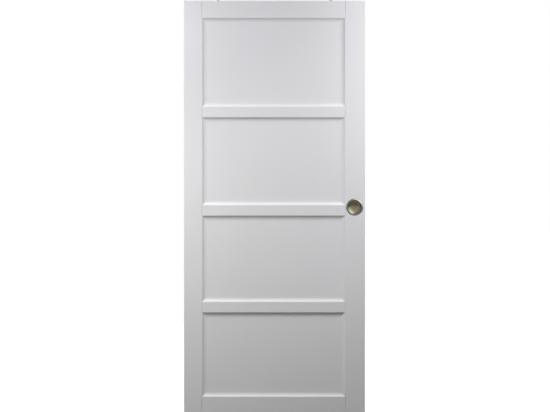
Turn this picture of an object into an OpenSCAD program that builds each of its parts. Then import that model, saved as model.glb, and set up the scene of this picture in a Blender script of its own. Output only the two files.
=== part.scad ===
// Sliding door: a frame and panel leaf that hangs from a head track on two trolleys
// and is steadied at its foot by a floor guide that runs in a groove.
// X runs along the track towards the closed side, Y from the front face to the back face, Z is up.
// The origin is on the floor under the middle of the track, at half the leaf's thickness.
// The leaf is drawn closed. It opens towards minus X.

/* [Leaf] */
// Width of the leaf
leaf_w = 930; // [800:5:1230]
// Height of the leaf
leaf_h = 2115; // [1900:5:2515]
// Thickness of the leaf
leaf_t = 40; // [36:0.5:50]
// Gap between the leaf's foot and the floor
floor_gap = 8; // [6:0.5:14]
// Radius of the stiles' outer edges
arris_r = 1; // [0.5:0.1:4]
// Width of leaf that stays in the doorway when the door is open
park_w = 110; // [100:1:200]

/* [Stiles and rails] */
// Face width of the trailing stile
trailing_stile_w = 92; // [70:1:110]
// Face width of the lead stile, which carries the pulls
lead_stile_w = 101; // [98:1:115]
// Face height of the top rail
top_rail_w = 86; // [70:1:140]
// Face height of the bottom rail
bottom_rail_w = 80; // [60:1:220]
// Face height of each cross rail
cross_rail_w = 50; // [40:1:90]
// Height of the upper cross rail's centre above the leaf's foot
upper_rail_z = 1544; // [1350:1:1700]
// Height of the middle cross rail's centre above the leaf's foot
middle_rail_z = 1039; // [900:1:1200]
// Height of the lower cross rail's centre above the leaf's foot
lower_rail_z = 542; // [400:1:750]
// Width of the V at the joint between a rail's face and a stile's
joint_v_w = 2.6; // [0.8:0.1:4]
// Depth of that V
joint_v_d = 2.6; // [0.4:0.1:4]

/* [Panels and sticking] */
// Thickness of the panels
panel_t = 18; // [12:0.5:22]
// Width of the ogee moulding that frames each panel
ogee_w = 21; // [18:0.5:26]
// Radius with which the ogee turns away from the face
ogee_nose_r = 6; // [3:0.5:9]
// Square edge left where the ogee meets the panel
ogee_lip = 1.2; // [0.5:0.1:3]
// Depth of the panel groove, from the lip inwards
groove_d = 14; // [10:0.5:18]
// Room left for the panel to move in its groove
panel_gap = 0.8; // [0.3:0.1:3]

/* [Tenons] */
// Length of a tenon beyond the panel groove
tenon_l = 30; // [15:1:36]
// Thickness of a tenon
tenon_t = 10; // [6:0.5:11]
// Shoulder above and below a tenon
tenon_shoulder = 6; // [3:0.5:10]
// Haunch that keeps the top rail's tenon below the end of the stile
tenon_haunch = 20; // [10:1:30]

/* [Pulls] */
// Diameter of the pull over its rim
pull_d = 87; // [76:1:92]
// Diameter of the pull's mouth
pull_mouth_d = 66; // [50:1:70]
// Height of the rounded rim above the leaf's face
pull_rim_h = 2.4; // [1:0.1:4]
// Distance of the rim's crown from the mouth
pull_crown = 4; // [2:0.5:6]
// Depth of the cup below the leaf's face
pull_depth = 11; // [8:0.5:12]
// Radius between the cup's wall and its floor
pull_fillet_r = 8; // [3:0.5:8]
// Wall thickness of the pull
pull_wall = 1.2; // [0.8:0.1:1.6]
// Distance of the pull's centre from the lead edge
pull_backset = 54; // [47:1:54]
// Height of the pull's centre above the leaf's foot
pull_z = 1055; // [850:1:1150]

/* [Track] */
// Gap between the leaf's top and the track
top_gap = 14; // [11:0.5:24]
// Width of the track
track_w = 40; // [38:0.5:60]
// Height of the track
track_h = 36; // [34:0.5:60]
// Thickness of the track's sides and top
track_wall = 2.4; // [1.6:0.1:3]
// Thickness of the two running flanges
track_flange_t = 3; // [2:0.1:4]
// Width of the slot between the flanges
track_slot_w = 13; // [10:0.5:14]
// Height of the lip along each flange
track_lip_h = 2; // [1:0.1:3]
// Thickness of the lip along each flange
track_lip_t = 1.6; // [1:0.1:2]
// Radius of the track's outer edges
track_edge_r = 1; // [0.3:0.1:2]
// Diameter of the screw holes in the track's top
track_hole_d = 5.5; // [4:0.1:7]
// Distance of the end holes from the track's ends
track_hole_end = 35; // [20:1:50]

/* [Trolleys] */
// Diameter of a wheel
wheel_d = 24; // [20:0.5:28]
// Width of a wheel
wheel_w = 7; // [5:0.5:7]
// Depth of the dish in each face of a wheel
wheel_dish = 1; // [0.5:0.1:1.2]
// Chamfer at a wheel's edges
wheel_chamfer = 0.8; // [0.3:0.1:1.2]
// Distance between a trolley's axles
wheel_base = 44; // [38:1:60]
// Diameter of an axle
axle_d = 5; // [4:0.1:6]
// Diameter of an axle's riveted head
axle_head_d = 8; // [6.5:0.1:9]
// Thickness of an axle's riveted head
axle_head_t = 1.2; // [0.8:0.1:1.4]
// Outer diameter of a wheel's ball bearing
bearing_d = 11; // [9.5:0.5:13]
// Depth of the shield in each face of a bearing
bearing_shield = 0.3; // [0.1:0.1:0.6]
// Width of a trolley's body
trolley_w = 16; // [15.6:0.1:16.4]
// How far a trolley's body stands past its wheels
trolley_nose = 1; // [0.5:0.1:3]
// Height of a trolley's body above its axles
trolley_above = 9; // [7:0.5:10]
// Radius of a trolley body's corners
trolley_r = 5; // [2:0.5:7]
// Diameter of the lightening holes in a trolley's body
trolley_hole_d = 5; // [3:0.5:6]

/* [Hangers] */
// Distance of a hanger plate's end from the wider stile's ogee
hanger_gap = 3; // [2:0.5:60]
// Diameter of the hanger bolt
bolt_d = 8; // [6:0.5:8]
// Diameter of the hanger bolt's head
bolt_head_d = 12; // [10:0.5:12.5]
// Height of the hanger bolt's head
bolt_head_h = 5; // [4:0.5:6]
// Key size of the socket in the bolt's head
bolt_key = 5; // [4:0.5:6]
// Chamfer at the bolt's end and round its head
bolt_chamfer = 0.8; // [0.3:0.1:1.2]
// Length of bolt that stands below the welded nut
bolt_spare = 6; // [2:1:12]
// Key size of the nuts
nut_key = 13; // [12:0.5:14]
// Height of the lock nut
lock_nut_h = 5; // [4:0.5:6.5]
// Height of the nut welded under a hanger plate
weld_nut_h = 6.5; // [5:0.5:8]
// Length of a hanger plate
plate_l = 100; // [80:1:110]
// Width of a hanger plate
plate_w = 26; // [24:0.5:30]
// Thickness of a hanger plate
plate_t = 3; // [2.8:0.1:4]
// Corner radius of a hanger plate
plate_r = 6; // [2:0.5:10]
// Distance of a plate's screws from its ends
plate_screw_end = 12; // [9:0.5:16]
// Distance between a plate's screws across the leaf
plate_screw_across = 12; // [10:0.5:14]
// Diameter of a plate screw's shank
screw_d = 4.5; // [3.5:0.1:5]
// Diameter of a plate screw's head
screw_head_d = 8.4; // [7:0.1:9]
// Length of a plate screw
screw_l = 40; // [25:1:50]
// Length across the cross recess in a plate screw's head
screw_cross_l = 4.6; // [3:0.1:5]
// Width of each slot of the cross recess
screw_cross_w = 1.1; // [0.6:0.1:1.4]

/* [Stops] */
// Length of a stop's body
stop_l = 30; // [24:1:40]
// Width of a stop's body
stop_w = 32; // [26:0.5:34]
// Height of a stop's body
stop_h = 19; // [15:0.5:24]
// Radius of the upright edges of a stop's body
stop_r = 3; // [1:0.5:6]
// Diameter of a stop's rubber buffer
buffer_d = 12; // [9:0.5:14]
// Length of a stop's rubber buffer
buffer_l = 10; // [6:0.5:14]
// Diameter of a stop's clamping screw
stop_screw_d = 6; // [5:0.5:8]
// Key size of the socket in a stop's clamping screw
stop_screw_key = 3; // [2.5:0.5:4]

/* [Floor guide] */
// Length of the guide's base
guide_l = 78; // [70:1:96]
// Width of the guide's base
guide_w = 34; // [26:1:60]
// Thickness of the guide's base
guide_base_t = 3; // [2.6:0.1:4.5]
// Length of the guide's fin
guide_fin_l = 38; // [24:1:40]
// Thickness of the guide's fin
guide_fin_t = 7.2; // [5:0.1:10]
// How far the fin reaches into the leaf
guide_reach = 13; // [8:0.5:14]
// Chamfer that leads the top of the fin into the groove
guide_lead = 1.5; // [0.5:0.1:2]
// Depth of the groove in the leaf's foot
guide_groove_d = 16; // [15:0.5:22]
// Distance between the guide's screw holes
guide_hole_gap = 56; // [52:1:60]
// Diameter of the guide's screw holes
guide_hole_d = 4.5; // [3.5:0.1:5]
// Diameter of the countersinks in the guide's base
guide_sink_d = 8; // [6.5:0.1:9]

/* [Clearances] */
// Clearance between glued or pressed pieces
fit = 0.1; // [0.05:0.01:0.2]
// Clearance between a bolt and a nut's bore
thread_fit = 0.05; // [0.02:0.01:0.1]
// Radial clearance of a bearing on its axle
bearing_fit = 0.03; // [0.01:0.01:0.08]
// Clearance between pieces that run past each other
run_gap = 0.3; // [0.2:0.05:0.5]
// Clearance between the wheels and the lips of the flanges
wheel_side_gap = 0.5; // [0.3:0.1:0.8]
// Clearance between a trolley's body and the lips below it
trolley_gap = 2; // [1:0.1:3]
// Spare depth at the blind end of a mortise, bore or screw hole
blind_gap = 1.4; // [0.5:0.1:3]

/* [Hidden] */
$fn = 48;
overcut = 1;
paint = "whitesmoke";
brass = "darkkhaki";
aluminium = "silver";
zinc = "lightsteelblue";
steel = "slategray";
nylon = "ivory";
rubber = "dimgray";

// Leaf frame: x from the trailing edge, z from the foot
leaf_x0 = -park_w / 2;
leaf_z0 = floor_gap;
travel = leaf_w - park_w;
groove_half = panel_t / 2 + fit;
lip_half = groove_half + ogee_lip;
ogee_d = leaf_t / 2 - lip_half;
ogee_radii = (ogee_w * ogee_w + ogee_d * ogee_d) / (2 * ogee_d);
ogee_turn_d = ogee_nose_r * ogee_d / ogee_radii;
ogee_cove_r = ogee_radii - ogee_nose_r + fit / 2;
groove_inset = ogee_w - groove_d;
trailing_groove_x = trailing_stile_w + groove_inset;
lead_groove_x = leaf_w - lead_stile_w - groove_inset;
guide_groove_w = guide_fin_t + 2 * run_gap;

// Rails from the foot up: bottom, lower, middle, upper, top
rail_mid = [lower_rail_z, middle_rail_z, upper_rail_z];
rail_low = concat([0], [for (z = rail_mid) z - cross_rail_w / 2], [leaf_h - top_rail_w]);
rail_high = concat([bottom_rail_w], [for (z = rail_mid) z + cross_rail_w / 2], [leaf_h]);
top_rail_i = len(rail_low) - 1;
function face_low(i) = rail_low[i] - (i == 0 ? overcut : 0);
function face_high(i) = rail_high[i] + (i == top_rail_i ? overcut : 0);
function tenon_low(i) = rail_low[i] + tenon_shoulder + (i == 0 ? guide_groove_d : 0);
function tenon_high(i) = rail_high[i] - (i == top_rail_i ? tenon_haunch : tenon_shoulder);

// Pull
pull_r = pull_d / 2;
mouth_r = pull_mouth_d / 2;
crown_r = mouth_r + pull_crown;
rim_chord = pull_r - crown_r;
rim_arc_r = (rim_chord * rim_chord + pull_rim_h * pull_rim_h) / (2 * pull_rim_h);
pull_bore_r = mouth_r + pull_wall + fit;
pull_bore_d = pull_depth + pull_wall + blind_gap;
pull_x = leaf_w - pull_backset;

// Track, drawn from its lower face up
track_l = leaf_w + travel;
track_z0 = leaf_z0 + leaf_h + top_gap;
track_half_in = track_w / 2 - track_wall;
track_top_in = track_h - track_wall;
lip_top = track_flange_t + track_lip_h;
track_hole_step = (track_l - 2 * track_hole_end) / 5;
track_holes = [for (k = [-2.5:1:2.5]) k * track_hole_step];

// Trolley, drawn from the track's lower face up
axle_z = track_flange_t + run_gap + wheel_d / 2;
wheel_in_y = track_slot_w / 2 + track_lip_t + wheel_side_gap;
wheel_mid_y = wheel_in_y + wheel_w / 2;
axle_half = wheel_in_y + wheel_w + run_gap;
boss_half = wheel_in_y - run_gap;
bearing_w = wheel_w - 2 * wheel_dish;
trolley_l = wheel_base + wheel_d + 2 * trolley_nose;
trolley_low = lip_top + trolley_gap;
trolley_top = axle_z + trolley_above;
trolley_hole_x = (wheel_base / 2 - axle_head_d / 2 + bolt_head_d / 2) / 2;
bolt_seat_z = trolley_top - bolt_head_h;
plate_top_z = -top_gap;
plate_low_z = plate_top_z - plate_t;
bolt_end_z = plate_low_z - weld_nut_h - bolt_spare;
bolt_pocket_d = weld_nut_h + bolt_spare + blind_gap;
bolt_pocket_w = nut_key / cos(30) + 2 * blind_gap;
screw_head_h = (screw_head_d - screw_d) / 2;
screw_tip_d = screw_d / 8;
screw_cross_d = screw_head_h * 0.8;
hanger_inset = max(trailing_stile_w, lead_stile_w) + ogee_w + hanger_gap + plate_l / 2;
hanger_x = [hanger_inset, leaf_w - hanger_inset];
nut_corner_r = nut_key / 2 / cos(30);
nut_face_r = nut_key * 0.475;
nut_chamfer = (nut_corner_r - nut_face_r) * tan(30);

// Stops, at the track positions where a trolley's nose ends its run
stop_face_x = leaf_x0 + leaf_w - hanger_inset + trolley_l / 2 + run_gap;
stop_body_x = stop_face_x + buffer_l;
stop_screw_low = track_flange_t;
buffer_z = (trolley_low + trolley_top) / 2;
buffer_r = buffer_d / 2;
buffer_nose_r = buffer_r / 2;
buffer_stem_d = buffer_d / 2;
buffer_stem_l = stop_l / 4;

// Floor guide
guide_top = floor_gap + guide_reach;
guide_sink_h = (guide_sink_d - guide_hole_d) / 2;
guide_r = guide_w / 4;

TROLLEYS = ["trailing", "lead"];
AXLES = ["aft", "fore"];
SIDES = ["front", "rear"];
STOPS = ["open", "closed"];
RAILS = ["bottom_rail", "lower_cross_rail", "middle_cross_rail", "upper_cross_rail", "top_rail"];
PANELS = ["bottom_panel", "lower_panel", "upper_panel", "top_panel"];

// Tool that rounds a square corner at the origin whose material lies in the first quadrant
module corner_cut(r) {
    difference() {
        translate([-overcut, -overcut])
            square(r + overcut);
        translate([r, r])
            circle(r);
    }
}

// Rectangle about the origin with rounded corners
module rounded_rect(l, w, r) {
    difference() {
        square([l, w], center = true);
        for (mx = [0, 1], my = [0, 1])
            mirror([mx, 0])
                mirror([0, my])
                    translate([-l / 2, -w / 2])
                        corner_cut(r);
    }
}

// Places its children in the leaf's own frame
module in_leaf() {
    translate([leaf_x0, 0, leaf_z0])
        children();
}

// Places its children at the hanger of one trolley, from the track's lower face up
module at_trolley(t) {
    translate([leaf_x0 + hanger_x[t], 0, track_z0])
        children();
}

// Section of a stile or rail: x runs across the face, y through the thickness.
// An edge that holds a panel has an ogee on both faces and a groove between them.
module board_section(w, stick_low, stick_high, edge_r) {
    half = leaf_t / 2;
    low_x = stick_low ? -ogee_w : 0;
    high_x = stick_high ? w + ogee_w : w;
    difference() {
        translate([low_x, -half])
            square([high_x - low_x, leaf_t]);
        if (stick_high)
            translate([high_x, 0])
                panel_edge();
        if (stick_low)
            translate([low_x, 0])
                mirror([1, 0])
                    panel_edge();
        if (edge_r > 0)
            for (m = [0, 1])
                mirror([0, m])
                    translate([0, -half])
                        corner_cut(edge_r);
    }
}

// Cutter for an edge at x 0 that holds a panel: the groove, and on each face a round nose that
// turns into a cove, which ends level with the panel at the lip
module panel_edge() {
    half = leaf_t / 2;
    translate([-groove_d, -groove_half])
        square([groove_d + overcut, 2 * groove_half]);
    for (m = [0, 1])
        mirror([0, m]) {
            translate([0, -lip_half - ogee_cove_r])
                circle(ogee_cove_r);
            difference() {
                translate([-ogee_w, -half - overcut])
                    square([ogee_w + overcut, ogee_turn_d + overcut]);
                translate([-ogee_w, ogee_nose_r - half])
                    circle(ogee_nose_r);
            }
        }
}

// Both stiles as plain lengths, in the leaf's frame
module stile_length(w, extra) {
    translate([0, 0, -extra])
        linear_extrude(leaf_h + 2 * extra)
            board_section(w, false, true, arris_r);
}

module lead_side() {
    translate([leaf_w, 0, 0])
        mirror([1, 0, 0])
            children();
}

// Mortise and face joint of every rail, in the frame of a stile of face width w
module joinery(w) {
    for (i = [0:top_rail_i]) {
        joint_cut(w, i);
        translate([
            w + groove_inset - tenon_l - blind_gap,
            -tenon_t / 2 - fit,
            tenon_low(i) - fit])
            cube([
                tenon_l + blind_gap + overcut,
                tenon_t + 2 * fit,
                tenon_high(i) - tenon_low(i) + 2 * fit]);
    }
}

// V on both faces along the joint of rail i with a stile whose face ends at x
module joint_cut(x, i) {
    for (s = [-1, 1])
        translate([x, s * leaf_t / 2, face_low(i)])
            linear_extrude(face_high(i) - face_low(i))
                polygon([
                    [-joint_v_w / 2, 0], [-joint_v_w / 2, s * overcut], [joint_v_w / 2, s * overcut],
                    [joint_v_w / 2, 0], [0, -s * joint_v_d]]);
}

// Groove along the leaf's foot that runs over the floor guide
module guide_groove() {
    translate([-overcut, -guide_groove_w / 2, -overcut])
        cube([leaf_w + 2 * overcut, guide_groove_w, guide_groove_d + overcut]);
}

module trailing_stile() {
    color(paint)
        in_leaf()
            difference() {
                stile_length(trailing_stile_w, 0);
                joinery(trailing_stile_w);
                guide_groove();
            }
}

module lead_stile() {
    color(paint)
        in_leaf()
            difference() {
                lead_side()
                    difference() {
                        stile_length(lead_stile_w, 0);
                        joinery(lead_stile_w);
                    }
                guide_groove();
                for (s = [-1, 1])
                    translate([pull_x, s * leaf_t / 2, pull_z])
                        rotate([90, 0, 0])
                            cylinder(r = pull_bore_r, h = 2 * pull_bore_d, center = true);
            }
}

// Recess for a hanger plate, pocket for its bolt and holes for its screws
module hanger_recess(t) {
    translate([hanger_x[t], 0, leaf_h - plate_t]) {
        linear_extrude(plate_t + overcut)
            rounded_rect(plate_l + 2 * fit, plate_w + 2 * fit, plate_r + fit);
        translate([0, 0, -bolt_pocket_d])
            cylinder(d = bolt_pocket_w, h = bolt_pocket_d + overcut);
        at_plate_screws()
            translate([0, 0, plate_t - screw_l - blind_gap])
                cylinder(d = screw_d + 2 * fit, h = screw_l + blind_gap);
    }
}

// One rail with coped ends that sit over the stiles' ogees, and its tenons
module rail(i) {
    low = rail_low[i];
    high = rail_high[i];
    color(paint)
        in_leaf()
            difference() {
                union() {
                    difference() {
                        translate([leaf_w - lead_stile_w, 0, low])
                            rotate([0, -90, 0])
                                linear_extrude(leaf_w - lead_stile_w - trailing_stile_w)
                                    board_section(high - low, i > 0, i < top_rail_i, 0);
                        stile_length(trailing_stile_w, overcut);
                        lead_side()
                            stile_length(lead_stile_w, overcut);
                    }
                    translate([trailing_groove_x - tenon_l, -tenon_t / 2, tenon_low(i)])
                        cube([
                            lead_groove_x - trailing_groove_x + 2 * tenon_l,
                            tenon_t,
                            tenon_high(i) - tenon_low(i)]);
                }
                joint_cut(trailing_stile_w, i);
                joint_cut(leaf_w - lead_stile_w, i);
                if (i == 0)
                    guide_groove();
                if (i == top_rail_i)
                    for (t = [0, 1])
                        hanger_recess(t);
            }
}

// Panel that stands in the grooves between rail i and the rail above it
module panel(i) {
    side = groove_inset;
    low = rail_high[i] + side + panel_gap;
    high = rail_low[i + 1] - side - panel_gap;
    color(paint)
        in_leaf()
            translate([trailing_groove_x + panel_gap, -panel_t / 2, low])
                cube([lead_groove_x - trailing_groove_x - 2 * panel_gap, panel_t, high - low]);
}

// Cup with a flat floor and a round inner corner, as a half section below y 0
module cup_section(r, depth, fillet) {
    translate([0, -depth])
        square([r - fillet, depth]);
    translate([0, -(depth - fillet)])
        square([r, depth - fillet]);
    translate([r - fillet, -(depth - fillet)])
        intersection() {
            circle(fillet);
            translate([0, -fillet])
                square(fillet);
        }
}

// Flush pull, turned about z, with the leaf's face at z 0
module pull() {
    color(brass)
        rotate_extrude() {
            intersection() {
                translate([crown_r, pull_rim_h - rim_arc_r])
                    circle(rim_arc_r);
                translate([mouth_r, 0])
                    square([pull_r, pull_rim_h + overcut]);
            }
            difference() {
                cup_section(mouth_r + pull_wall, pull_depth + pull_wall, pull_fillet_r + pull_wall);
                cup_section(mouth_r, pull_depth, pull_fillet_r);
            }
        }
}

// A pull in the front face for side -1, or in the back face for side 1
module leaf_pull(side) {
    in_leaf()
        translate([pull_x, side * leaf_t / 2, pull_z])
            rotate([-side * 90, 0, 0])
                pull();
}

// Places its children at the four screws of a hanger plate
module at_plate_screws() {
    for (sx = [-1, 1], sy = [-1, 1])
        translate([sx * (plate_l / 2 - plate_screw_end), sy * plate_screw_across / 2, 0])
            children();
}

// Outline of a countersunk wood screw whose head lies flush with z 0
module plate_screw(grow) {
    shank_r = screw_d / 2 + grow;
    translate([0, 0, -screw_head_h])
        cylinder(r1 = shank_r, r2 = screw_head_d / 2 + grow, h = screw_head_h);
    translate([0, 0, -screw_l + screw_d])
        cylinder(r = shank_r, h = screw_l - screw_d);
    translate([0, 0, -screw_l])
        cylinder(r1 = screw_tip_d / 2, r2 = shank_r, h = screw_d);
}

module hanger_plate_screws() {
    color(zinc)
        for (t = [0, 1])
            at_trolley(t)
                translate([0, 0, plate_top_z])
                    at_plate_screws()
                        difference() {
                            plate_screw(0);
                            for (turn = [0, 90])
                                rotate(turn)
                                    cube([screw_cross_l, screw_cross_w, 2 * screw_cross_d], center = true);
                        }
}

// Hexagonal nut about z with its corners turned off at both faces
module nut(h) {
    intersection() {
        cylinder(r = nut_corner_r, h = h, $fn = 6);
        rotate_extrude()
            polygon([
                [0, 0], [nut_face_r, 0], [nut_corner_r, nut_chamfer],
                [nut_corner_r, h - nut_chamfer], [nut_face_r, h], [0, h]]);
    }
}

// Bore of a thread about z, from z 0 up through a height h
module thread_bore(h) {
    translate([0, 0, -overcut])
        cylinder(d = bolt_d + 2 * thread_fit, h = h + 2 * overcut);
}

// Plate let into the top of the leaf, with the nut that is welded under it
module hanger_plate(t) {
    color(zinc)
        at_trolley(t)
            difference() {
                union() {
                    translate([0, 0, plate_low_z])
                        linear_extrude(plate_t)
                            rounded_rect(plate_l, plate_w, plate_r);
                    translate([0, 0, plate_low_z - weld_nut_h])
                        nut(weld_nut_h + plate_t / 2);
                }
                translate([0, 0, plate_low_z - weld_nut_h])
                    thread_bore(weld_nut_h + plate_t);
                translate([0, 0, plate_top_z])
                    at_plate_screws()
                        plate_screw(fit);
            }
}

// Socket head bolt, turned about z, that hangs the leaf from a trolley
module hanger_bolt(t) {
    shank_r = bolt_d / 2;
    head_r = bolt_head_d / 2;
    color(steel)
        at_trolley(t)
            difference() {
                rotate_extrude()
                    polygon([
                        [0, bolt_end_z], [shank_r - bolt_chamfer, bolt_end_z],
                        [shank_r, bolt_end_z + bolt_chamfer], [shank_r, bolt_seat_z],
                        [head_r, bolt_seat_z], [head_r, trolley_top - bolt_chamfer],
                        [head_r - bolt_chamfer, trolley_top], [0, trolley_top]]);
                translate([0, 0, bolt_seat_z + bolt_head_h / 2])
                    cylinder(d = bolt_key / cos(30), h = bolt_head_h, $fn = 6);
            }
}

module lock_nut(t) {
    color(zinc)
        at_trolley(t)
            translate([0, 0, plate_top_z])
                difference() {
                    nut(lock_nut_h);
                    thread_bore(lock_nut_h);
                }
}

// Places its children on an axle of a trolley, with z along the axle towards the front
module at_axle(t, a) {
    at_trolley(t)
        translate([(2 * a - 1) * wheel_base / 2, 0, axle_z])
            rotate([90, 0, 0])
                children();
}

// Cast body that carries both axles and the hanger bolt's head
module trolley_body(t) {
    color(zinc)
        difference() {
            union() {
                at_trolley(t)
                    translate([0, 0, (trolley_low + trolley_top) / 2])
                        rotate([90, 0, 0])
                            linear_extrude(trolley_w, center = true)
                                rounded_rect(trolley_l, trolley_top - trolley_low, trolley_r);
                for (a = [0, 1])
                    at_axle(t, a)
                        cylinder(d = axle_head_d, h = 2 * boss_half, center = true);
            }
            for (a = [0, 1])
                at_axle(t, a)
                    cylinder(d = axle_d + 2 * fit, h = 2 * boss_half + overcut, center = true);
            for (s = [-1, 1])
                at_trolley(t)
                    translate([s * trolley_hole_x, 0, axle_z])
                        rotate([90, 0, 0])
                            cylinder(d = trolley_hole_d, h = trolley_w + overcut, center = true);
            at_trolley(t) {
                translate([0, 0, trolley_low - overcut])
                    cylinder(d = bolt_d + 2 * fit, h = trolley_top);
                translate([0, 0, bolt_seat_z])
                    cylinder(d = bolt_head_d + 2 * fit, h = bolt_head_h + overcut);
            }
        }
}

// Axle riveted over at both ends
module axle(t, a) {
    color(steel)
        at_axle(t, a) {
            cylinder(d = axle_d, h = 2 * axle_half, center = true);
            for (m = [0, 1])
                mirror([0, 0, m])
                    translate([0, 0, axle_half])
                        cylinder(d1 = axle_head_d, d2 = axle_d, h = axle_head_t);
        }
}

// Places its children at the middle of one wheel
module at_wheel(t, a, s) {
    at_axle(t, a)
        translate([0, 0, (1 - 2 * s) * wheel_mid_y])
            children();
}

// Nylon wheel with a dished web, pressed on its bearing
module wheel(t, a, s) {
    r = wheel_d / 2;
    half = wheel_w / 2;
    web_half = bearing_w / 2;
    seat_r = bearing_d / 2 + fit / 2;
    rim_r = (r + seat_r) / 2;
    color(nylon)
        at_wheel(t, a, s)
            rotate_extrude()
                polygon([
                    [seat_r, -web_half], [rim_r - wheel_dish, -web_half], [rim_r, -half],
                    [r - wheel_chamfer, -half], [r, wheel_chamfer - half],
                    [r, half - wheel_chamfer], [r - wheel_chamfer, half],
                    [rim_r, half], [rim_r - wheel_dish, web_half], [seat_r, web_half]]);
}

// Shielded ball bearing, closed on both faces
module bearing(t, a, s) {
    half = bearing_w / 2;
    bore_r = axle_d / 2 + bearing_fit;
    outer_r = bearing_d / 2;
    ring = (outer_r - bore_r) / 4;
    shield = half - bearing_shield;
    color(steel)
        at_wheel(t, a, s)
            rotate_extrude()
                polygon([
                    [bore_r, -half], [bore_r + ring, -half], [bore_r + ring, -shield],
                    [outer_r - ring, -shield], [outer_r - ring, -half], [outer_r, -half],
                    [outer_r, half], [outer_r - ring, half], [outer_r - ring, shield],
                    [bore_r + ring, shield], [bore_r + ring, half], [bore_r, half]]);
}

// Extruded channel, open below, with a lip along each running flange
module track_section() {
    slot = track_slot_w / 2;
    lip = slot + track_lip_t;
    difference() {
        translate([0, track_h / 2])
            rounded_rect(track_w, track_h, track_edge_r);
        polygon([
            [-slot, -overcut], [-slot, lip_top], [-lip, lip_top], [-lip, track_flange_t],
            [-track_half_in, track_flange_t], [-track_half_in, track_top_in],
            [track_half_in, track_top_in], [track_half_in, track_flange_t],
            [lip, track_flange_t], [lip, lip_top], [slot, lip_top], [slot, -overcut]]);
    }
}

module track() {
    color(aluminium)
        translate([0, 0, track_z0])
            difference() {
                translate([-track_l / 2, 0, 0])
                    rotate([90, 0, 90])
                        linear_extrude(track_l)
                            track_section();
                for (x = track_holes)
                    translate([x, 0, track_top_in - overcut])
                        cylinder(d = track_hole_d, h = track_wall + 2 * overcut);
            }
}

// Places its children at one end of the track's run: 0 the open end, 1 the closed end
module at_stop(e) {
    translate([0, 0, track_z0])
        mirror([1 - e, 0, 0])
            children();
}

// Block clamped in the track, which rests on the lips
module stop_body(e) {
    color(zinc)
        at_stop(e)
            difference() {
                translate([stop_body_x + stop_l / 2, 0, lip_top])
                    linear_extrude(stop_h)
                        rounded_rect(stop_l, stop_w, stop_r);
                translate([stop_body_x + stop_l / 2, 0, 0])
                    cylinder(d = stop_screw_d + 2 * thread_fit, h = track_h);
                translate([stop_body_x - overcut, 0, buffer_z])
                    rotate([0, 90, 0])
                        cylinder(d = buffer_stem_d + 2 * thread_fit, h = buffer_stem_l + fit + overcut);
            }
}

// Rubber buffer with a rounded nose, held by a stem in the block
module stop_buffer(e) {
    color(rubber)
        at_stop(e)
            translate([stop_body_x, 0, buffer_z])
                rotate([0, -90, 0]) {
                    rotate_extrude() {
                        square([buffer_r - buffer_nose_r, buffer_l]);
                        square([buffer_r, buffer_l - buffer_nose_r]);
                        translate([buffer_r - buffer_nose_r, buffer_l - buffer_nose_r])
                            circle(buffer_nose_r);
                    }
                    translate([0, 0, -buffer_stem_l])
                        cylinder(d = buffer_stem_d, h = buffer_stem_l);
                }
}

// Clamping screw that bears on the track's top, with its socket below
module stop_screw(e) {
    color(steel)
        at_stop(e)
            translate([stop_body_x + stop_l / 2, 0, 0])
                difference() {
                    translate([0, 0, stop_screw_low])
                        cylinder(d = stop_screw_d, h = track_top_in - stop_screw_low);
                    translate([0, 0, stop_screw_low - overcut])
                        cylinder(d = stop_screw_key / cos(30), h = stop_screw_d / 2 + overcut, $fn = 6);
                }
}

// Half or whole section of the guide's fin, with its chamfered top
module fin_section(low_x) {
    half = guide_fin_t / 2;
    intersection() {
        polygon([
            [-half, 0], [half, 0], [half, guide_top - guide_lead],
            [half - guide_lead, guide_top], [guide_lead - half, guide_top],
            [-half, guide_top - guide_lead]]);
        translate([low_x, 0])
            square([guide_fin_t, guide_top]);
    }
}

// Moulded guide with an upright fin that stands in the leaf's groove
module floor_guide() {
    fin_run = guide_fin_l - guide_fin_t;
    color(nylon)
        difference() {
            union() {
                linear_extrude(guide_base_t)
                    rounded_rect(guide_l, guide_w, guide_r);
                translate([-fin_run / 2, 0, 0])
                    rotate([90, 0, 90])
                        linear_extrude(fin_run)
                            fin_section(-guide_fin_t / 2);
                for (s = [-1, 1])
                    translate([s * fin_run / 2, 0, 0])
                        rotate_extrude()
                            fin_section(0);
            }
            for (s = [-1, 1])
                translate([s * guide_hole_gap / 2, 0, 0]) {
                    translate([0, 0, -overcut])
                        cylinder(d = guide_hole_d, h = guide_base_t + 2 * overcut);
                    translate([0, 0, guide_base_t - guide_sink_h])
                        cylinder(d1 = guide_hole_d, d2 = guide_sink_d, h = guide_sink_h);
                }
        }
}

trailing_stile();
lead_stile();
for (i = [0:top_rail_i])
    rail(i);
for (i = [0:top_rail_i - 1])
    panel(i);
leaf_pull(-1);  // front_pull
leaf_pull(1);  // rear_pull
hanger_plate_screws();
for (t = [0, 1]) {
    hanger_plate(t);
    hanger_bolt(t);
    lock_nut(t);
    trolley_body(t);
    for (a = [0, 1]) {
        axle(t, a);
        for (s = [0, 1]) {
            name = str(TROLLEYS[t], "_", AXLES[a], "_", SIDES[s]);
            wheel(t, a, s);
            bearing(t, a, s);
        }
    }
}
track();
floor_guide();
for (e = [0, 1]) {
    stop_body(e);
    stop_buffer(e);
    stop_screw(e);
}
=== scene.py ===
import math

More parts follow.
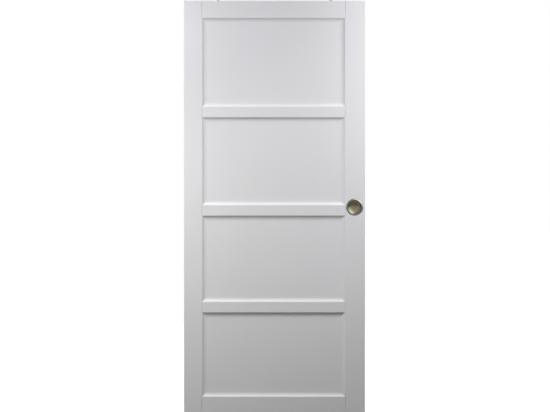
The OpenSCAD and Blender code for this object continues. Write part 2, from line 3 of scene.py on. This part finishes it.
import bpy
import numpy as np
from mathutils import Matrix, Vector


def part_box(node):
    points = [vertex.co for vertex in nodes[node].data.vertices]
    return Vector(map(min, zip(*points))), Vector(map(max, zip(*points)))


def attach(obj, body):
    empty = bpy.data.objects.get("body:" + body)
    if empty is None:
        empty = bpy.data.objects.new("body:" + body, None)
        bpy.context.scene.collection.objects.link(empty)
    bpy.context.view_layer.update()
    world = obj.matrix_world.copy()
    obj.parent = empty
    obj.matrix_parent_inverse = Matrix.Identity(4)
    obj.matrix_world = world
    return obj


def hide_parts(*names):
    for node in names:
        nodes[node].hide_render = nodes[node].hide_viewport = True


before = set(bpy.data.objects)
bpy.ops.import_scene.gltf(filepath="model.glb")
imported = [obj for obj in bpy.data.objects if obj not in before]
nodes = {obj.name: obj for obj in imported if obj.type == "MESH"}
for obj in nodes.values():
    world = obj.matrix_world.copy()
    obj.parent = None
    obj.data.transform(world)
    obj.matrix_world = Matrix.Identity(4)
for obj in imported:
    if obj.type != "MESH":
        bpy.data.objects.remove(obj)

scene = bpy.context.scene
scene.view_settings.view_transform = "Standard"
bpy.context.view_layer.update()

# Leaf woodwork: two stiles, five rails and four flat panels set back behind ogee mouldings.
# Timber boards, coped and tenoned round the panels, then sprayed with satin white lacquer that
# leaves a fine orange peel, faint lines of the grain below and slight drifts of tone.
LACQUER_COOL = (0.802, 0.802, 0.806, 1.0)
LACQUER_WARM = (0.784, 0.782, 0.779, 1.0)
LACQUER_DRIFT_PER_M = 2.2
LACQUER_ROUGH = (0.50, 0.60)
PEEL_PER_M, PEEL_DEPTH = 420.0, 0.00004
FINE_PEEL_TIMES, FINE_PEEL_SHARE = 3.1, 0.33
GRAIN_ACROSS, GRAIN_ALONG = 520.0, 9.0
GRAIN_DEPTH = PEEL_DEPTH / 2


def feed(tree, entry, value):
    """Gives an input a value, or a link where the value is another node's output."""
    if isinstance(value, bpy.types.NodeSocket):
        tree.links.new(value, entry)
    else:
        entry.default_value = value


def add_node(tree, kind, inputs=None, **settings):
    """One shader node with its settings, and with its inputs fed by name or by place."""
    node = tree.nodes.new("ShaderNode" + kind)
    for name, setting in settings.items():
        setattr(node, name, setting)
    for name, value in (inputs or {}).items():
        feed(tree, node.inputs[name], value)
    return node


def add_math(tree, operation, *values):
    """Result of an operation on values and on other nodes' outputs."""
    return add_node(tree, "Math", dict(enumerate(values)), operation=operation).outputs[0]


def add_noise(tree, vector, scale, detail, roughness=0.5):
    """Soft noise, whose level lies about one half."""
    inputs = {"Vector": vector, "Scale": scale, "Detail": detail, "Roughness": roughness}
    return add_node(tree, "TexNoise", inputs).outputs["Fac"]


def add_range(tree, value, span, ends=(0.0, 1.0), curve="LINEAR"):
    """A value carried over from its span to new ends, and held at them outside the span."""
    inputs = {"Value": value, "From Min": span[0], "From Max": span[1],
              "To Min": ends[0], "To Max": ends[1]}
    return add_node(tree, "MapRange", inputs, interpolation_type=curve).outputs["Result"]


def add_mix(tree, factor, *tones):
    """Colour mixed from two tones: the first where the factor is 0, the second where it is 1."""
    mix = add_node(tree, "Mix", {"Factor": factor}, data_type="RGBA")
    entries = [socket for socket in mix.inputs if socket.type == "RGBA"]
    for entry, tone in zip(entries, tones):
        feed(tree, entry, tone)
    return next(socket for socket in mix.outputs if socket.type == "RGBA")


def start_group(name, inputs, outputs):
    """A node group with named sockets: a kind and a starting value for each input, and a kind for
    each output. Gives the group, the sockets that feed it and the sockets of its results."""
    group = bpy.data.node_groups.new(name, "ShaderNodeTree")
    for label, (kind, start) in inputs.items():
        socket = group.interface.new_socket(label, in_out="INPUT", socket_type="NodeSocket" + kind)
        socket.default_value = start
    for label, kind in outputs.items():
        group.interface.new_socket(label, in_out="OUTPUT", socket_type="NodeSocket" + kind)
    given = group.nodes.new("NodeGroupInput").outputs
    results = group.nodes.new("NodeGroupOutput").inputs
    return group, given, results


def build_tone_drift():
    """Drift of colour: a soft noise, stretched to run from 0 to 1, mixes Tone A into Tone B."""
    group, given, results = start_group(
        "tone_drift",
        {"Vector": ("Vector", (0.0, 0.0, 0.0)), "Scale": ("Float", 5.0),
         "Tone A": ("Color", (0.8, 0.8, 0.8, 1.0)), "Tone B": ("Color", (0.7, 0.7, 0.7, 1.0))},
        {"Color": "Color"})
    noise = add_noise(group, given["Vector"], given["Scale"], detail=4.0, roughness=0.55)
    share = add_range(group, noise, span=(0.32, 0.68))
    feed(group, results["Color"], add_mix(group, share, given["Tone A"], given["Tone B"]))
    return group


def build_skin_peel():
    """Skin of a sprayed, cast or moulded face: coarse pimples plus a third as much of pimples
    three times finer give the height, and the coarse ones carry roughness from Low to High."""
    group, given, results = start_group(
        "skin_peel",
        {"Vector": ("Vector", (0.0, 0.0, 0.0)), "Scale": ("Float", 300.0),
         "Low": ("Float", 0.3), "High": ("Float", 0.4)},
        {"Height": "Float", "Roughness": "Float"})
    coarse = add_noise(group, given["Vector"], given["Scale"], detail=1.0)
    finer = add_math(group, "MULTIPLY", given["Scale"], FINE_PEEL_TIMES)
    fine = add_noise(group, given["Vector"], finer, detail=0.0)
    feed(group, results["Height"], add_math(group, "MULTIPLY_ADD", fine, FINE_PEEL_SHARE, coarse))
    rough = add_range(group, coarse, span=(0.35, 0.65), ends=(given["Low"], given["High"]))
    feed(group, results["Roughness"], rough)
    return group


def build_run_lines():
    """Lines that run one way, as grain, extrusion or turning marks: a noise whose coordinates are
    multiplied by Stretch, so that it is drawn out along the axis with the smallest factor."""
    group, given, results = start_group(
        "run_lines",
        {"Vector": ("Vector", (0.0, 0.0, 0.0)), "Stretch": ("Vector", (1.0, 1.0, 1.0))},
        {"Height": "Float"})
    factors = {0: given["Vector"], 1: given["Stretch"]}
    drawn = add_node(group, "VectorMath", factors, operation="MULTIPLY").outputs["Vector"]
    feed(group, results["Height"], add_noise(group, drawn, scale=1.0, detail=2.0))
    return group


tone_drift = build_tone_drift()
skin_peel = build_skin_peel()
run_lines = build_run_lines()


class Finish:
    """A material with its shader, its Object coordinates and the layers that a maker would name."""

    def __init__(self, name, metallic=0.0):
        self.material = bpy.data.materials.new(name)
        self.material.use_nodes = True
        self.tree = self.material.node_tree
        self.shader = self.tree.nodes["Principled BSDF"].inputs
        self.place = add_node(self.tree, "TexCoord").outputs["Object"]
        self.relief = None
        self.set("Metallic", metallic)

    def set(self, name, value):
        """Feeds one input of the shader."""
        feed(self.tree, self.shader[name], value)

    def drift(self, scale, tone_a, tone_b):
        """Colour that drifts between two tones."""
        inputs = {"Vector": self.place, "Scale": scale, "Tone A": tone_a, "Tone B": tone_b}
        return add_node(self.tree, "Group", inputs, node_tree=tone_drift).outputs["Color"]

    def tone(self, scale, tone_a, tone_b):
        """Base colour that drifts between two tones."""
        self.set("Base Color", self.drift(scale, tone_a, tone_b))

    def raise_by(self, height, depth):
        """Adds a height, depth metres from trough to crest, on top of the reliefs so far."""
        bump = add_node(self.tree, "Bump", {"Height": height, "Distance": depth})
        if self.relief:
            feed(self.tree, bump.inputs["Normal"], self.relief)
        self.relief = bump.outputs["Normal"]
        self.set("Normal", self.relief)

    def peel(self, scale, rough, depth):
        """Skin peel in the relief and in the roughness."""
        inputs = {"Vector": self.place, "Scale": scale, "Low": rough[0], "High": rough[1]}
        layer = add_node(self.tree, "Group", inputs, node_tree=skin_peel)
        self.set("Roughness", layer.outputs["Roughness"])
        self.raise_by(layer.outputs["Height"], depth)

    def lines(self, stretch, depth, vector=None):
        """Lines that run one way in the relief."""
        inputs = {"Vector": vector or self.place, "Stretch": stretch}
        layer = add_node(self.tree, "Group", inputs, node_tree=run_lines)
        self.raise_by(layer.outputs["Height"], depth)

    def dress(self, *names):
        """Gives this finish to CAD nodes."""
        for name in names:
            nodes[name].data.materials.clear()
            nodes[name].data.materials.append(self.material)


def lacquer(name, grain=None):
    """Satin white lacquer, over a board whose grain shows along one axis or doesn't show."""
    finish = Finish(name)
    finish.tone(LACQUER_DRIFT_PER_M, LACQUER_COOL, LACQUER_WARM)
    finish.peel(PEEL_PER_M, LACQUER_ROUGH, PEEL_DEPTH)
    if grain:
        finish.lines(grain, GRAIN_DEPTH)
    return finish


stiles = ["trailing_stile", "lead_stile"]
rails = ["bottom_rail", "lower_cross_rail", "middle_cross_rail", "upper_cross_rail", "top_rail"]
panels = ["bottom_panel", "lower_panel", "upper_panel", "top_panel"]
lacquer("lacquer_upright", (GRAIN_ACROSS, GRAIN_ACROSS, GRAIN_ALONG)).dress(*stiles)
lacquer("lacquer_cross", (GRAIN_ALONG, GRAIN_ACROSS, GRAIN_ACROSS)).dress(*rails)
lacquer("lacquer_panel").dress(*panels)

leaf_low = Vector(map(min, *(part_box(n)[0] for n in stiles)))
leaf_high = Vector(map(max, *(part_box(n)[1] for n in stiles)))
face_y = {"front": leaf_low.y, "rear": leaf_high.y}

# Flush pulls, one in each face of the lead stile.
# Brass cups, spun and turned, with a crowned rim on the face; patina and painted shade darken them
# all over, and a painted reflection makes the dished floor lighter. Pressed and glued into a bored
# hole.
PULL_RIM_R, PULL_CROWN_R, PULL_MOUTH_R, PULL_HUB_R = 0.0435, 0.0370, 0.0330, 0.0020
PULL_RIM_H, PULL_DEPTH, PULL_FILLET, PULL_WALL = 0.0024, 0.0110, 0.0080, 0.0012
PULL_FLAT_R = PULL_MOUTH_R - PULL_FILLET
PULL_DISH = 0.0012
LIP_REACH, LIP_DROP, LIP_CORNER_DROP = 0.0008, 0.0011, 0.0003
PULL_STEPS = 176
SHARP_DEGREES = 32.0
# Dark tones are patina and painted shade; the light tones paint a reflection on the cup's floor.
PATINA_AND_SHADE_DARK = (0.216, 0.219, 0.184, 1.0)
PATINA_AND_SHADE_DEEP = (0.156, 0.160, 0.136, 1.0)
PAINTED_REFLECTION_LIGHT = (0.244, 0.210, 0.138, 1.0)
PAINTED_REFLECTION_DARK = (0.180, 0.154, 0.098, 1.0)
PAINTED_REFLECTION_EDGE = 0.004


def arc(centre, radius, start, end, count):
    """Points on a circle in the profile plane, from one angle to another, in degrees."""
    turn = np.radians(np.linspace(start, end, count))
    return np.stack([centre[0] + radius * np.cos(turn), centre[1] + radius * np.sin(turn)], 1)


def pull_profile():
    """Radius and height of a pull, from the middle of its floor out over the rim and back under:
    floor dished by a parabola, round fillet, lip drawn as a parabola, crowned rim, plain back."""
    crown_r = ((PULL_RIM_R - PULL_CROWN_R) ** 2 + PULL_RIM_H ** 2) / (2 * PULL_RIM_H)
    crown = (PULL_CROWN_R, PULL_RIM_H - crown_r)
    lip_r = PULL_MOUTH_R + LIP_REACH
    lip_turn = math.degrees(math.acos((lip_r - crown[0]) / crown_r))
    edge_turn = math.degrees(math.acos((PULL_RIM_R - crown[0]) / crown_r))
    lip_end = np.array([lip_r, crown[1] + crown_r * math.sin(math.radians(lip_turn))])
    lip_foot = np.array([PULL_MOUTH_R, lip_end[1] - LIP_DROP])
    lip_corner = np.array([PULL_MOUTH_R, lip_end[1] - LIP_CORNER_DROP])
    t = np.linspace(0.0, 1.0, num=7)[:, None]
    lip = (1 - t) ** 2 * lip_foot + 2 * t * (1 - t) * lip_corner + t ** 2 * lip_end
    reach = np.linspace(PULL_HUB_R, PULL_FLAT_R, num=9)
    floor = np.stack([reach, PULL_DISH * (reach / PULL_FLAT_R) ** 2 - PULL_DEPTH], 1)
    fillet_at = (PULL_FLAT_R, PULL_FILLET + PULL_DISH - PULL_DEPTH)
    fillet = arc(fillet_at, PULL_FILLET, start=-85.0, end=0.0, count=15)
    rim = arc(crown, crown_r, lip_turn, edge_turn, count=22)
    back_at = (PULL_FLAT_R, PULL_FILLET - PULL_DEPTH)
    back = arc(back_at, PULL_FILLET + PULL_WALL, start=0.0, end=-90.0, count=9)
    back_top = [[PULL_MOUTH_R + PULL_WALL, 0.0]]
    back_end = [[PULL_HUB_R, back[-1, 1]]]
    return np.concatenate([floor, fillet[1:], lip, rim[1:], back_top, back, back_end])


def skin_rings(name, rings, along, low_pole=None, high_pole=None):
    """Skin over rings: rings[i, j] is step j round ring i. Quads join each ring to the next one;
    a fan to each pole closes the ends, and without poles the last ring joins the first. The UV map
    holds the share of a turn and the distance along the profile, in metres."""
    count, steps = rings.shape[:2]
    looped = low_pole is None
    i, j = np.meshgrid(np.arange(count if looped else count - 1), np.arange(steps), indexing="ij")
    i, j = i.ravel(), j.ravel()
    up, on = (i + 1) % count, (j + 1) % steps
    quads = np.stack([i * steps + j, i * steps + on, up * steps + on, up * steps + j], 1)
    step_u = np.stack([j, j + 1, j + 1, j], 1) / steps
    step_v = np.stack([along[i], along[i], along[i + 1], along[i + 1]], 1)
    points = rings.reshape(-1, 3)
    faces = quads.tolist()
    uv = [np.stack([step_u, step_v], 2).reshape(-1, 2)]
    if not looped:
        j = np.arange(steps)
        on = (j + 1) % steps
        last = (count - 1) * steps
        low_at, high_at = len(points), len(points) + 1
        points = np.concatenate([points, [low_pole, high_pole]])
        faces += np.stack([np.full(steps, low_at), on, j], 1).tolist()
        faces += np.stack([np.full(steps, high_at), last + j, last + on], 1).tolist()
        fan_u = np.stack([j + 0.5, j + 1, j], 1) / steps
        fan_v = np.broadcast_to([0.0, along[0], along[0]], (steps, 3))
        uv.append(np.stack([fan_u, fan_v], 2).reshape(-1, 2))
        fan_u = np.stack([j + 0.5, j, j + 1], 1) / steps
        fan_v = np.full((steps, 3), along[-1])
        uv.append(np.stack([fan_u, fan_v], 2).reshape(-1, 2))
    mesh = bpy.data.meshes.new(name)
    mesh.from_pydata(points.tolist(), [], faces)
    layer = mesh.uv_layers.new(name="turned")
    layer.data.foreach_set("uv", np.concatenate(uv).astype(np.float32).ravel())
    mesh.polygons.foreach_set("use_smooth", np.ones(len(mesh.polygons), bool))
    mesh.set_sharp_from_angle(angle=math.radians(SHARP_DEGREES))
    piece = bpy.data.objects.new(name, mesh)
    scene.collection.objects.link(piece)
    return piece


def run_length(profile):
    """Distance of each profile point from the first one, along the profile."""
    return np.concatenate([[0.0], np.cumsum(np.hypot(*np.diff(profile, axis=0).T))])


def turned_about_y(profile, centre, face, out):
    """Rings of a profile turned about an axis along y: radius goes round in x and z, and height
    stands out of the face at y = face, towards out."""
    turn = np.linspace(0.0, 2 * math.pi, PULL_STEPS, endpoint=False) * out
    radius, height = profile[:, :1], profile[:, 1:]
    x = centre[0] + radius * np.cos(turn)
    z = centre[1] + radius * np.sin(turn)
    return np.stack([x, np.broadcast_to(face + out * height, x.shape), z], 2)


def brass_patina_and_painted_reflection():
    """Brass dark with patina and painted shade, a lighter painted reflection on the cup's floor,
    turning marks.
    """
    finish = Finish("brass_patina_and_painted_reflection", metallic=1.0)
    patina_and_shade = finish.drift(scale=75.0, tone_a=PATINA_AND_SHADE_DARK, tone_b=PATINA_AND_SHADE_DEEP)
    painted_reflection = finish.drift(scale=55.0, tone_a=PAINTED_REFLECTION_LIGHT, tone_b=PAINTED_REFLECTION_DARK)
    round_cup = add_node(finish.tree, "UVMap").outputs["UV"]
    along = add_node(finish.tree, "SeparateXYZ", {0: round_cup}).outputs["Y"]
    # Painted reflection: the cup's floor is coloured lighter, and the fillet, wall and rim stay dark
    # as painted shade.
    edge = (PULL_FLAT_R - PAINTED_REFLECTION_EDGE, PULL_FLAT_R + PAINTED_REFLECTION_EDGE)
    painted_reflection_mask = add_range(finish.tree, along, span=edge, ends=(1.0, 0.0), curve="SMOOTHSTEP")
    finish.set("Base Color", add_mix(finish.tree, painted_reflection_mask, patina_and_shade, painted_reflection))
    finish.peel(scale=900.0, rough=(0.20, 0.26), depth=0.000003)
    finish.lines(stretch=(1.5, 2600.0, 1.0), depth=0.000004, vector=round_cup)
    return finish.material


brass = brass_patina_and_painted_reflection()
cups = bpy.data.collections.new("pull_cups")
profile = pull_profile()
for side, out in (("front", -1.0), ("rear", 1.0)):
    low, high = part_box(f"{side}_pull")
    centre = ((low[0] + high[0]) / 2, (low[2] + high[2]) / 2)
    rings = turned_about_y(profile, centre, face_y[side], out)
    poles = [(centre[0], face_y[side] + out * profile[k, 1], centre[1]) for k in (0, -1)]
    pull = skin_rings(f"{side}_cup", rings, run_length(profile), *poles)
    pull.data.materials.append(brass)
    cups.objects.link(pull)
    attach(pull, "leaf")
    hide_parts(f"{side}_pull")

# Hanger plates and their screws, let into the top edge of the leaf.
# Pressed steel strips with a nut welded below, and countersunk wood screws; all zinc plated, with
# the cloudy blue-white tone of a passivated coat.
zinc_plate = Finish("zinc_plate", metallic=1.0)
zinc_plate.tone(scale=190.0, tone_a=(0.60, 0.61, 0.62, 1.0), tone_b=(0.47, 0.48, 0.50, 1.0))
zinc_plate.peel(scale=1500.0, rough=(0.26, 0.42), depth=0.000008)
zinc_plate.dress("trailing_hanger_plate", "lead_hanger_plate", "hanger_plate_screws")

# Hanger bolts and lock nuts, which carry the leaf and set its height.
# Socket head bolts with a rolled thread, blackened and oiled; turned hexagon nuts, zinc plated, are
# run down on the plates to lock them.
THREAD_PITCH, THREAD_DEPTH = 0.00125, 0.00062
THREAD_ROWS = 9
BOLT_R, BOLT_EDGE = 0.0040, 0.0008
BOLT_HEAD_R, BOLT_HEAD_H, BOLT_KEY = 0.0060, 0.0050, 0.0050
NUT_KEY, NUT_BORE_R, NUT_SINK = 0.0130, 0.00405, 0.0006
NUT_FACE_R = 0.475 * NUT_KEY
NUT_CORNER_DEGREES = 30.0
HEX_STEPS = 48


def hexagon(key, turn):
    """Distance from a hexagon's middle to its side, at each angle: half the key size over the
    cosine of the angle from the nearest flat."""
    return key / 2 / np.cos((turn + math.pi / 6) % (math.pi / 3) - math.pi / 6)


def turned_about_z(x, y, radius, height, turn):
    """Rings about an upright axis from arrays of radius and height."""
    return np.stack([x + radius * np.cos(turn), y + radius * np.sin(turn), height], 2)


def hanger_bolt(name, low, high):
    """Bolt from its end up: a shank whose radius drops by a triangle wave of height less turn,
    cut back by a cone at the end, then the head, and a hexagonal socket down into it."""
    x, y = (low[0] + high[0]) / 2, (low[1] + high[1]) / 2
    turn = np.linspace(0.0, 2 * math.pi, HEX_STEPS, endpoint=False)[None]
    seat = high[2] - BOLT_HEAD_H
    rows = int(round((seat - low[2]) / THREAD_PITCH * THREAD_ROWS))
    rise = np.linspace(0.0, seat - low[2], rows)[:, None]
    wave = np.abs(2 * ((rise / THREAD_PITCH - turn / (2 * math.pi)) % 1.0) - 1)
    cone = BOLT_R - BOLT_EDGE + rise
    runout = np.clip((seat - low[2] - rise) / THREAD_PITCH, 0.0, 1.0)
    shank = np.minimum(BOLT_R - THREAD_DEPTH * wave * runout, cone)
    socket = hexagon(BOLT_KEY, turn)
    flat = np.ones_like(turn)
    radius = np.concatenate([
        shank, BOLT_HEAD_R * flat, BOLT_HEAD_R * flat, (BOLT_HEAD_R - BOLT_EDGE) * flat,
        socket, socket])
    height = np.concatenate([
        low[2] + rise * flat, seat * flat, (high[2] - BOLT_EDGE) * flat, high[2] * flat,
        high[2] * flat, (high[2] - BOLT_HEAD_H / 2) * flat])
    rings = turned_about_z(x, y, radius, height, turn)
    along = run_length(np.stack([radius[:, 0], height[:, 0]], 1))
    return skin_rings(name, rings, along, (x, y, low[2]), (x, y, height[-1, 0]))


def lock_nut(name, low, high):
    """Nut as a closed section round the bore: sunk mouth, face, corners turned off at a slope
    above and below the hexagon, and back down the bore."""
    x, y = (low[0] + high[0]) / 2, (low[1] + high[1]) / 2
    turn = np.linspace(0.0, 2 * math.pi, 2 * HEX_STEPS, endpoint=False)[None]
    flat = np.ones_like(turn)
    side = hexagon(NUT_KEY, turn + math.pi / 6)
    drop = (side - NUT_FACE_R) * math.tan(math.radians(NUT_CORNER_DEGREES))
    mouth_r = NUT_BORE_R + NUT_SINK
    radius = np.concatenate([
        NUT_BORE_R * flat, mouth_r * flat, NUT_FACE_R * flat, side, side, NUT_FACE_R * flat,
        mouth_r * flat, NUT_BORE_R * flat])
    height = np.concatenate([
        (low[2] + NUT_SINK) * flat, low[2] * flat, low[2] * flat, low[2] + drop, high[2] - drop,
        high[2] * flat, high[2] * flat, (high[2] - NUT_SINK) * flat])
    rings = turned_about_z(x, y, radius, height, turn)
    section = np.stack([radius[:, 0], height[:, 0]], 1)
    along = run_length(np.concatenate([section, section[:1]]))
    return skin_rings(name, rings, along)


black_steel = Finish("black_steel", metallic=1.0)
black_steel.tone(scale=240.0, tone_a=(0.105, 0.105, 0.110, 1.0), tone_b=(0.065, 0.066, 0.072, 1.0))
black_steel.peel(scale=1800.0, rough=(0.30, 0.46), depth=0.000006)

for end in ("trailing", "lead"):
    bolt = hanger_bolt(f"{end}_threaded_bolt", *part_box(f"{end}_hanger_bolt"))
    bolt.data.materials.append(black_steel.material)
    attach(bolt, "leaf")
    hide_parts(f"{end}_hanger_bolt")
    nut = lock_nut(f"{end}_turned_nut", *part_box(f"{end}_lock_nut"))
    nut.data.materials.append(zinc_plate.material)
    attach(nut, "leaf")
    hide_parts(f"{end}_lock_nut")

# Trolleys: a body, two axles and four wheels each, which run inside the track.
# Bodies are die cast zinc with the dull skin of the mould; axles are steel, riveted over; wheels
# are turned from nylon and pressed on shielded steel bearings.
cast_zinc = Finish("cast_zinc", metallic=1.0)
cast_zinc.tone(scale=130.0, tone_a=(0.46, 0.47, 0.48, 1.0), tone_b=(0.36, 0.37, 0.38, 1.0))
cast_zinc.peel(scale=800.0, rough=(0.42, 0.58), depth=0.00003)

axle_steel = Finish("axle_steel", metallic=1.0)
axle_steel.tone(scale=300.0, tone_a=(0.56, 0.56, 0.57, 1.0), tone_b=(0.44, 0.44, 0.45, 1.0))
axle_steel.peel(scale=1600.0, rough=(0.18, 0.30), depth=0.000005)

nylon = Finish("wheel_nylon")
nylon.tone(scale=120.0, tone_a=(0.700, 0.682, 0.628, 1.0), tone_b=(0.640, 0.622, 0.566, 1.0))
nylon.peel(scale=1200.0, rough=(0.38, 0.50), depth=0.000012)

for end in ("trailing", "lead"):
    cast_zinc.dress(f"{end}_trolley_body")
    for axle in ("aft", "fore"):
        axle_steel.dress(f"{end}_{axle}_axle")
        for side in ("front", "rear"):
            nylon.dress(f"{end}_{axle}_{side}_wheel")
            axle_steel.dress(f"{end}_{axle}_{side}_bearing")

# Track: one straight channel over the leaf, screwed up through its top.
# Extruded aluminium in its mill finish, with the fine lines that the die leaves along its length.
aluminium = Finish("mill_aluminium", metallic=1.0)
aluminium.tone(scale=9.0, tone_a=(0.500, 0.505, 0.515, 1.0), tone_b=(0.445, 0.450, 0.462, 1.0))
aluminium.peel(scale=2200.0, rough=(0.42, 0.52), depth=0.000004)
aluminium.lines(stretch=(2.0, 1400.0, 1400.0), depth=0.000010)
aluminium.dress("track")

# Stops, clamped in the track at both ends of the run.
# Cast blocks as the trolleys' bodies, with a black rubber buffer and a blackened grub screw.
rubber = Finish("buffer_rubber")
rubber.tone(scale=200.0, tone_a=(0.030, 0.030, 0.031, 1.0), tone_b=(0.020, 0.020, 0.021, 1.0))
rubber.peel(scale=1100.0, rough=(0.62, 0.80), depth=0.00002)
for end in ("open", "closed"):
    cast_zinc.dress(f"{end}_stop_body")
    rubber.dress(f"{end}_stop_buffer")
    black_steel.dress(f"{end}_stop_screw")

# Floor guide, under the trailing end of the leaf.
# One moulding in pale grey nylon, screwed to the floor, with a fin that runs in the leaf's groove.
guide_nylon = Finish("guide_nylon")
guide_nylon.tone(scale=90.0, tone_a=(0.660, 0.660, 0.655, 1.0), tone_b=(0.600, 0.600, 0.592, 1.0))
guide_nylon.peel(scale=900.0, rough=(0.42, 0.54), depth=0.000018)
guide_nylon.dress("floor_guide")

# Floor, surround, lamps and camera, which are no part of the door.
# A pale floor in a white surround; a soft key high on the right, fills on the left and a lamp behind.
# A sheet of light on each side reaches only the pulls. The camera stands straight before the leaf.
PHOTO_W, PHOTO_H = 550, 412
LEAF_LEFT_PX, LEAF_RIGHT_PX, LEAF_TOP_PX = 183.9, 365.1, 0.62
CAMERA_FAR = 5.0
FLOOR_HALF = 30.0
FLOOR_DRIFT_PER_M = 1.5
FLOOR_TONES = ((0.800, 0.790, 0.775, 1.0), (0.780, 0.770, 0.755, 1.0))
FLOOR_ROUGH = 0.9
FLOOR_BOUNCE = (0.080, 0.074, 0.056, 1.0)
FLOOR_GLOW_SPAN, FLOOR_GLOW = (2.5, 5.0), (0.80, 1.0)
FLOOR_MIRRORED = 0.15
WHITE = (1.0, 1.0, 1.0, 1.0)
AMBIENT = 0.03
DAYLIGHT = (0.957, 0.960, 1.0)
LOW_LIGHT = (0.988, 0.967, 0.940)


def view_rays(tree):
    """Three masks: rays from the camera, rays that mirror or pass on the view, and all of these."""
    ray = add_node(tree, "LightPath").outputs
    direct = ray["Is Camera Ray"]
    mirrored = add_math(tree, "MAXIMUM", ray["Is Glossy Ray"], ray["Is Transmission Ray"])
    return direct, mirrored, add_math(tree, "MAXIMUM", direct, mirrored)


floor_mesh = bpy.data.meshes.new("floor")
corners = np.array([(-1, -1, 0), (1, -1, 0), (1, 1, 0), (-1, 1, 0)], float) * FLOOR_HALF
floor_mesh.from_pydata(corners.tolist(), [], [(0, 1, 2, 3)])
floor = bpy.data.objects.new("floor", floor_mesh)
scene.collection.objects.link(floor)

pale = Finish("pale_floor")
direct, mirrored, viewed = view_rays(pale.tree)
tone = pale.drift(FLOOR_DRIFT_PER_M, *FLOOR_TONES)
pale.set("Base Color", add_mix(pale.tree, viewed, FLOOR_BOUNCE, tone))
pale.set("Roughness", FLOOR_ROUGH)
pale.set("Specular IOR Level", 0.0)
far = add_node(pale.tree, "VectorMath", {0: pale.place}, operation="LENGTH").outputs["Value"]
glow = add_range(pale.tree, far, FLOOR_GLOW_SPAN, FLOOR_GLOW)
shown = add_math(pale.tree, "MULTIPLY_ADD", mirrored, FLOOR_MIRRORED, direct)
pale.set("Emission Color", WHITE)
pale.set("Emission Strength", add_math(pale.tree, "MULTIPLY", shown, glow))
floor_mesh.materials.append(pale.material)

world = bpy.data.worlds.new("surround")
scene.world = world
world.use_nodes = True
sky = world.node_tree
sky.nodes.clear()
viewed = view_rays(sky)[-1]
level = add_range(sky, viewed, span=(0.0, 1.0), ends=(AMBIENT, 1.0))
light = add_node(sky, "Background", {"Color": WHITE, "Strength": level})
add_node(sky, "OutputWorld", {"Surface": light.outputs["Background"]})


def soft_box(name, place, aim, size, watts, tint=DAYLIGHT):
    """A rectangular lamp at place that faces aim. It lights, but isn't seen or mirrored itself."""
    data = bpy.data.lights.new(name, "AREA")
    data.shape = "RECTANGLE"
    data.size, data.size_y = size
    data.energy = watts
    data.color = tint
    lamp = bpy.data.objects.new(name, data)
    lamp.location = place
    lamp.rotation_euler = (Vector(aim) - Vector(place)).to_track_quat("-Z", "Y").to_euler()
    lamp.visible_camera = False
    lamp.visible_glossy = False
    scene.collection.objects.link(lamp)
    return lamp


soft_box("key", place=(1.85, -0.98, 2.21), aim=(1.8, 0.0, 1.64), size=(0.7, 1.4), watts=34.0)
soft_box("fill", place=(-0.86, -1.09, 2.23), aim=(1.16, 0.0, -3.33), size=(0.7, 1.4), watts=30.9)
soft_box("low_fill", place=(-0.71, -1.31, 1.26), aim=(0.67, 0.0, -3.87), size=(1.6, 1.6), watts=13.2,
         tint=LOW_LIGHT)
soft_box("rear", place=(0.0, 2.60, 2.60), aim=(0.0, 0.0, 0.9), size=(3.0, 1.6), watts=98.0)
middle = (leaf_low.x + leaf_high.x) / 2
for name, side in (("front_sheen", -1.0), ("rear_sheen", 1.0)):
    sheen = soft_box(name, place=(1.80, side * 1.65, 2.04), aim=(middle, 0.0, 0.6), size=(1.7, 1.5),
                     watts=46.0)
    sheen.visible_glossy = True
    sheen.light_linking.receiver_collection = cups

camera_data = bpy.data.cameras.new("camera")
camera = bpy.data.objects.new("camera", camera_data)
scene.collection.objects.link(camera)
scene.camera = camera
metres_per_px = (leaf_high.x - leaf_low.x) / (LEAF_RIGHT_PX - LEAF_LEFT_PX)
camera_data.lens = camera_data.sensor_width * CAMERA_FAR / (PHOTO_W * metres_per_px)
camera.location = (
    leaf_low.x + (PHOTO_W / 2 - LEAF_LEFT_PX) * metres_per_px,
    leaf_low.y - CAMERA_FAR,
    leaf_high.z - (PHOTO_H / 2 - LEAF_TOP_PX) * metres_per_px)
camera.rotation_euler = (math.pi / 2, 0.0, 0.0)
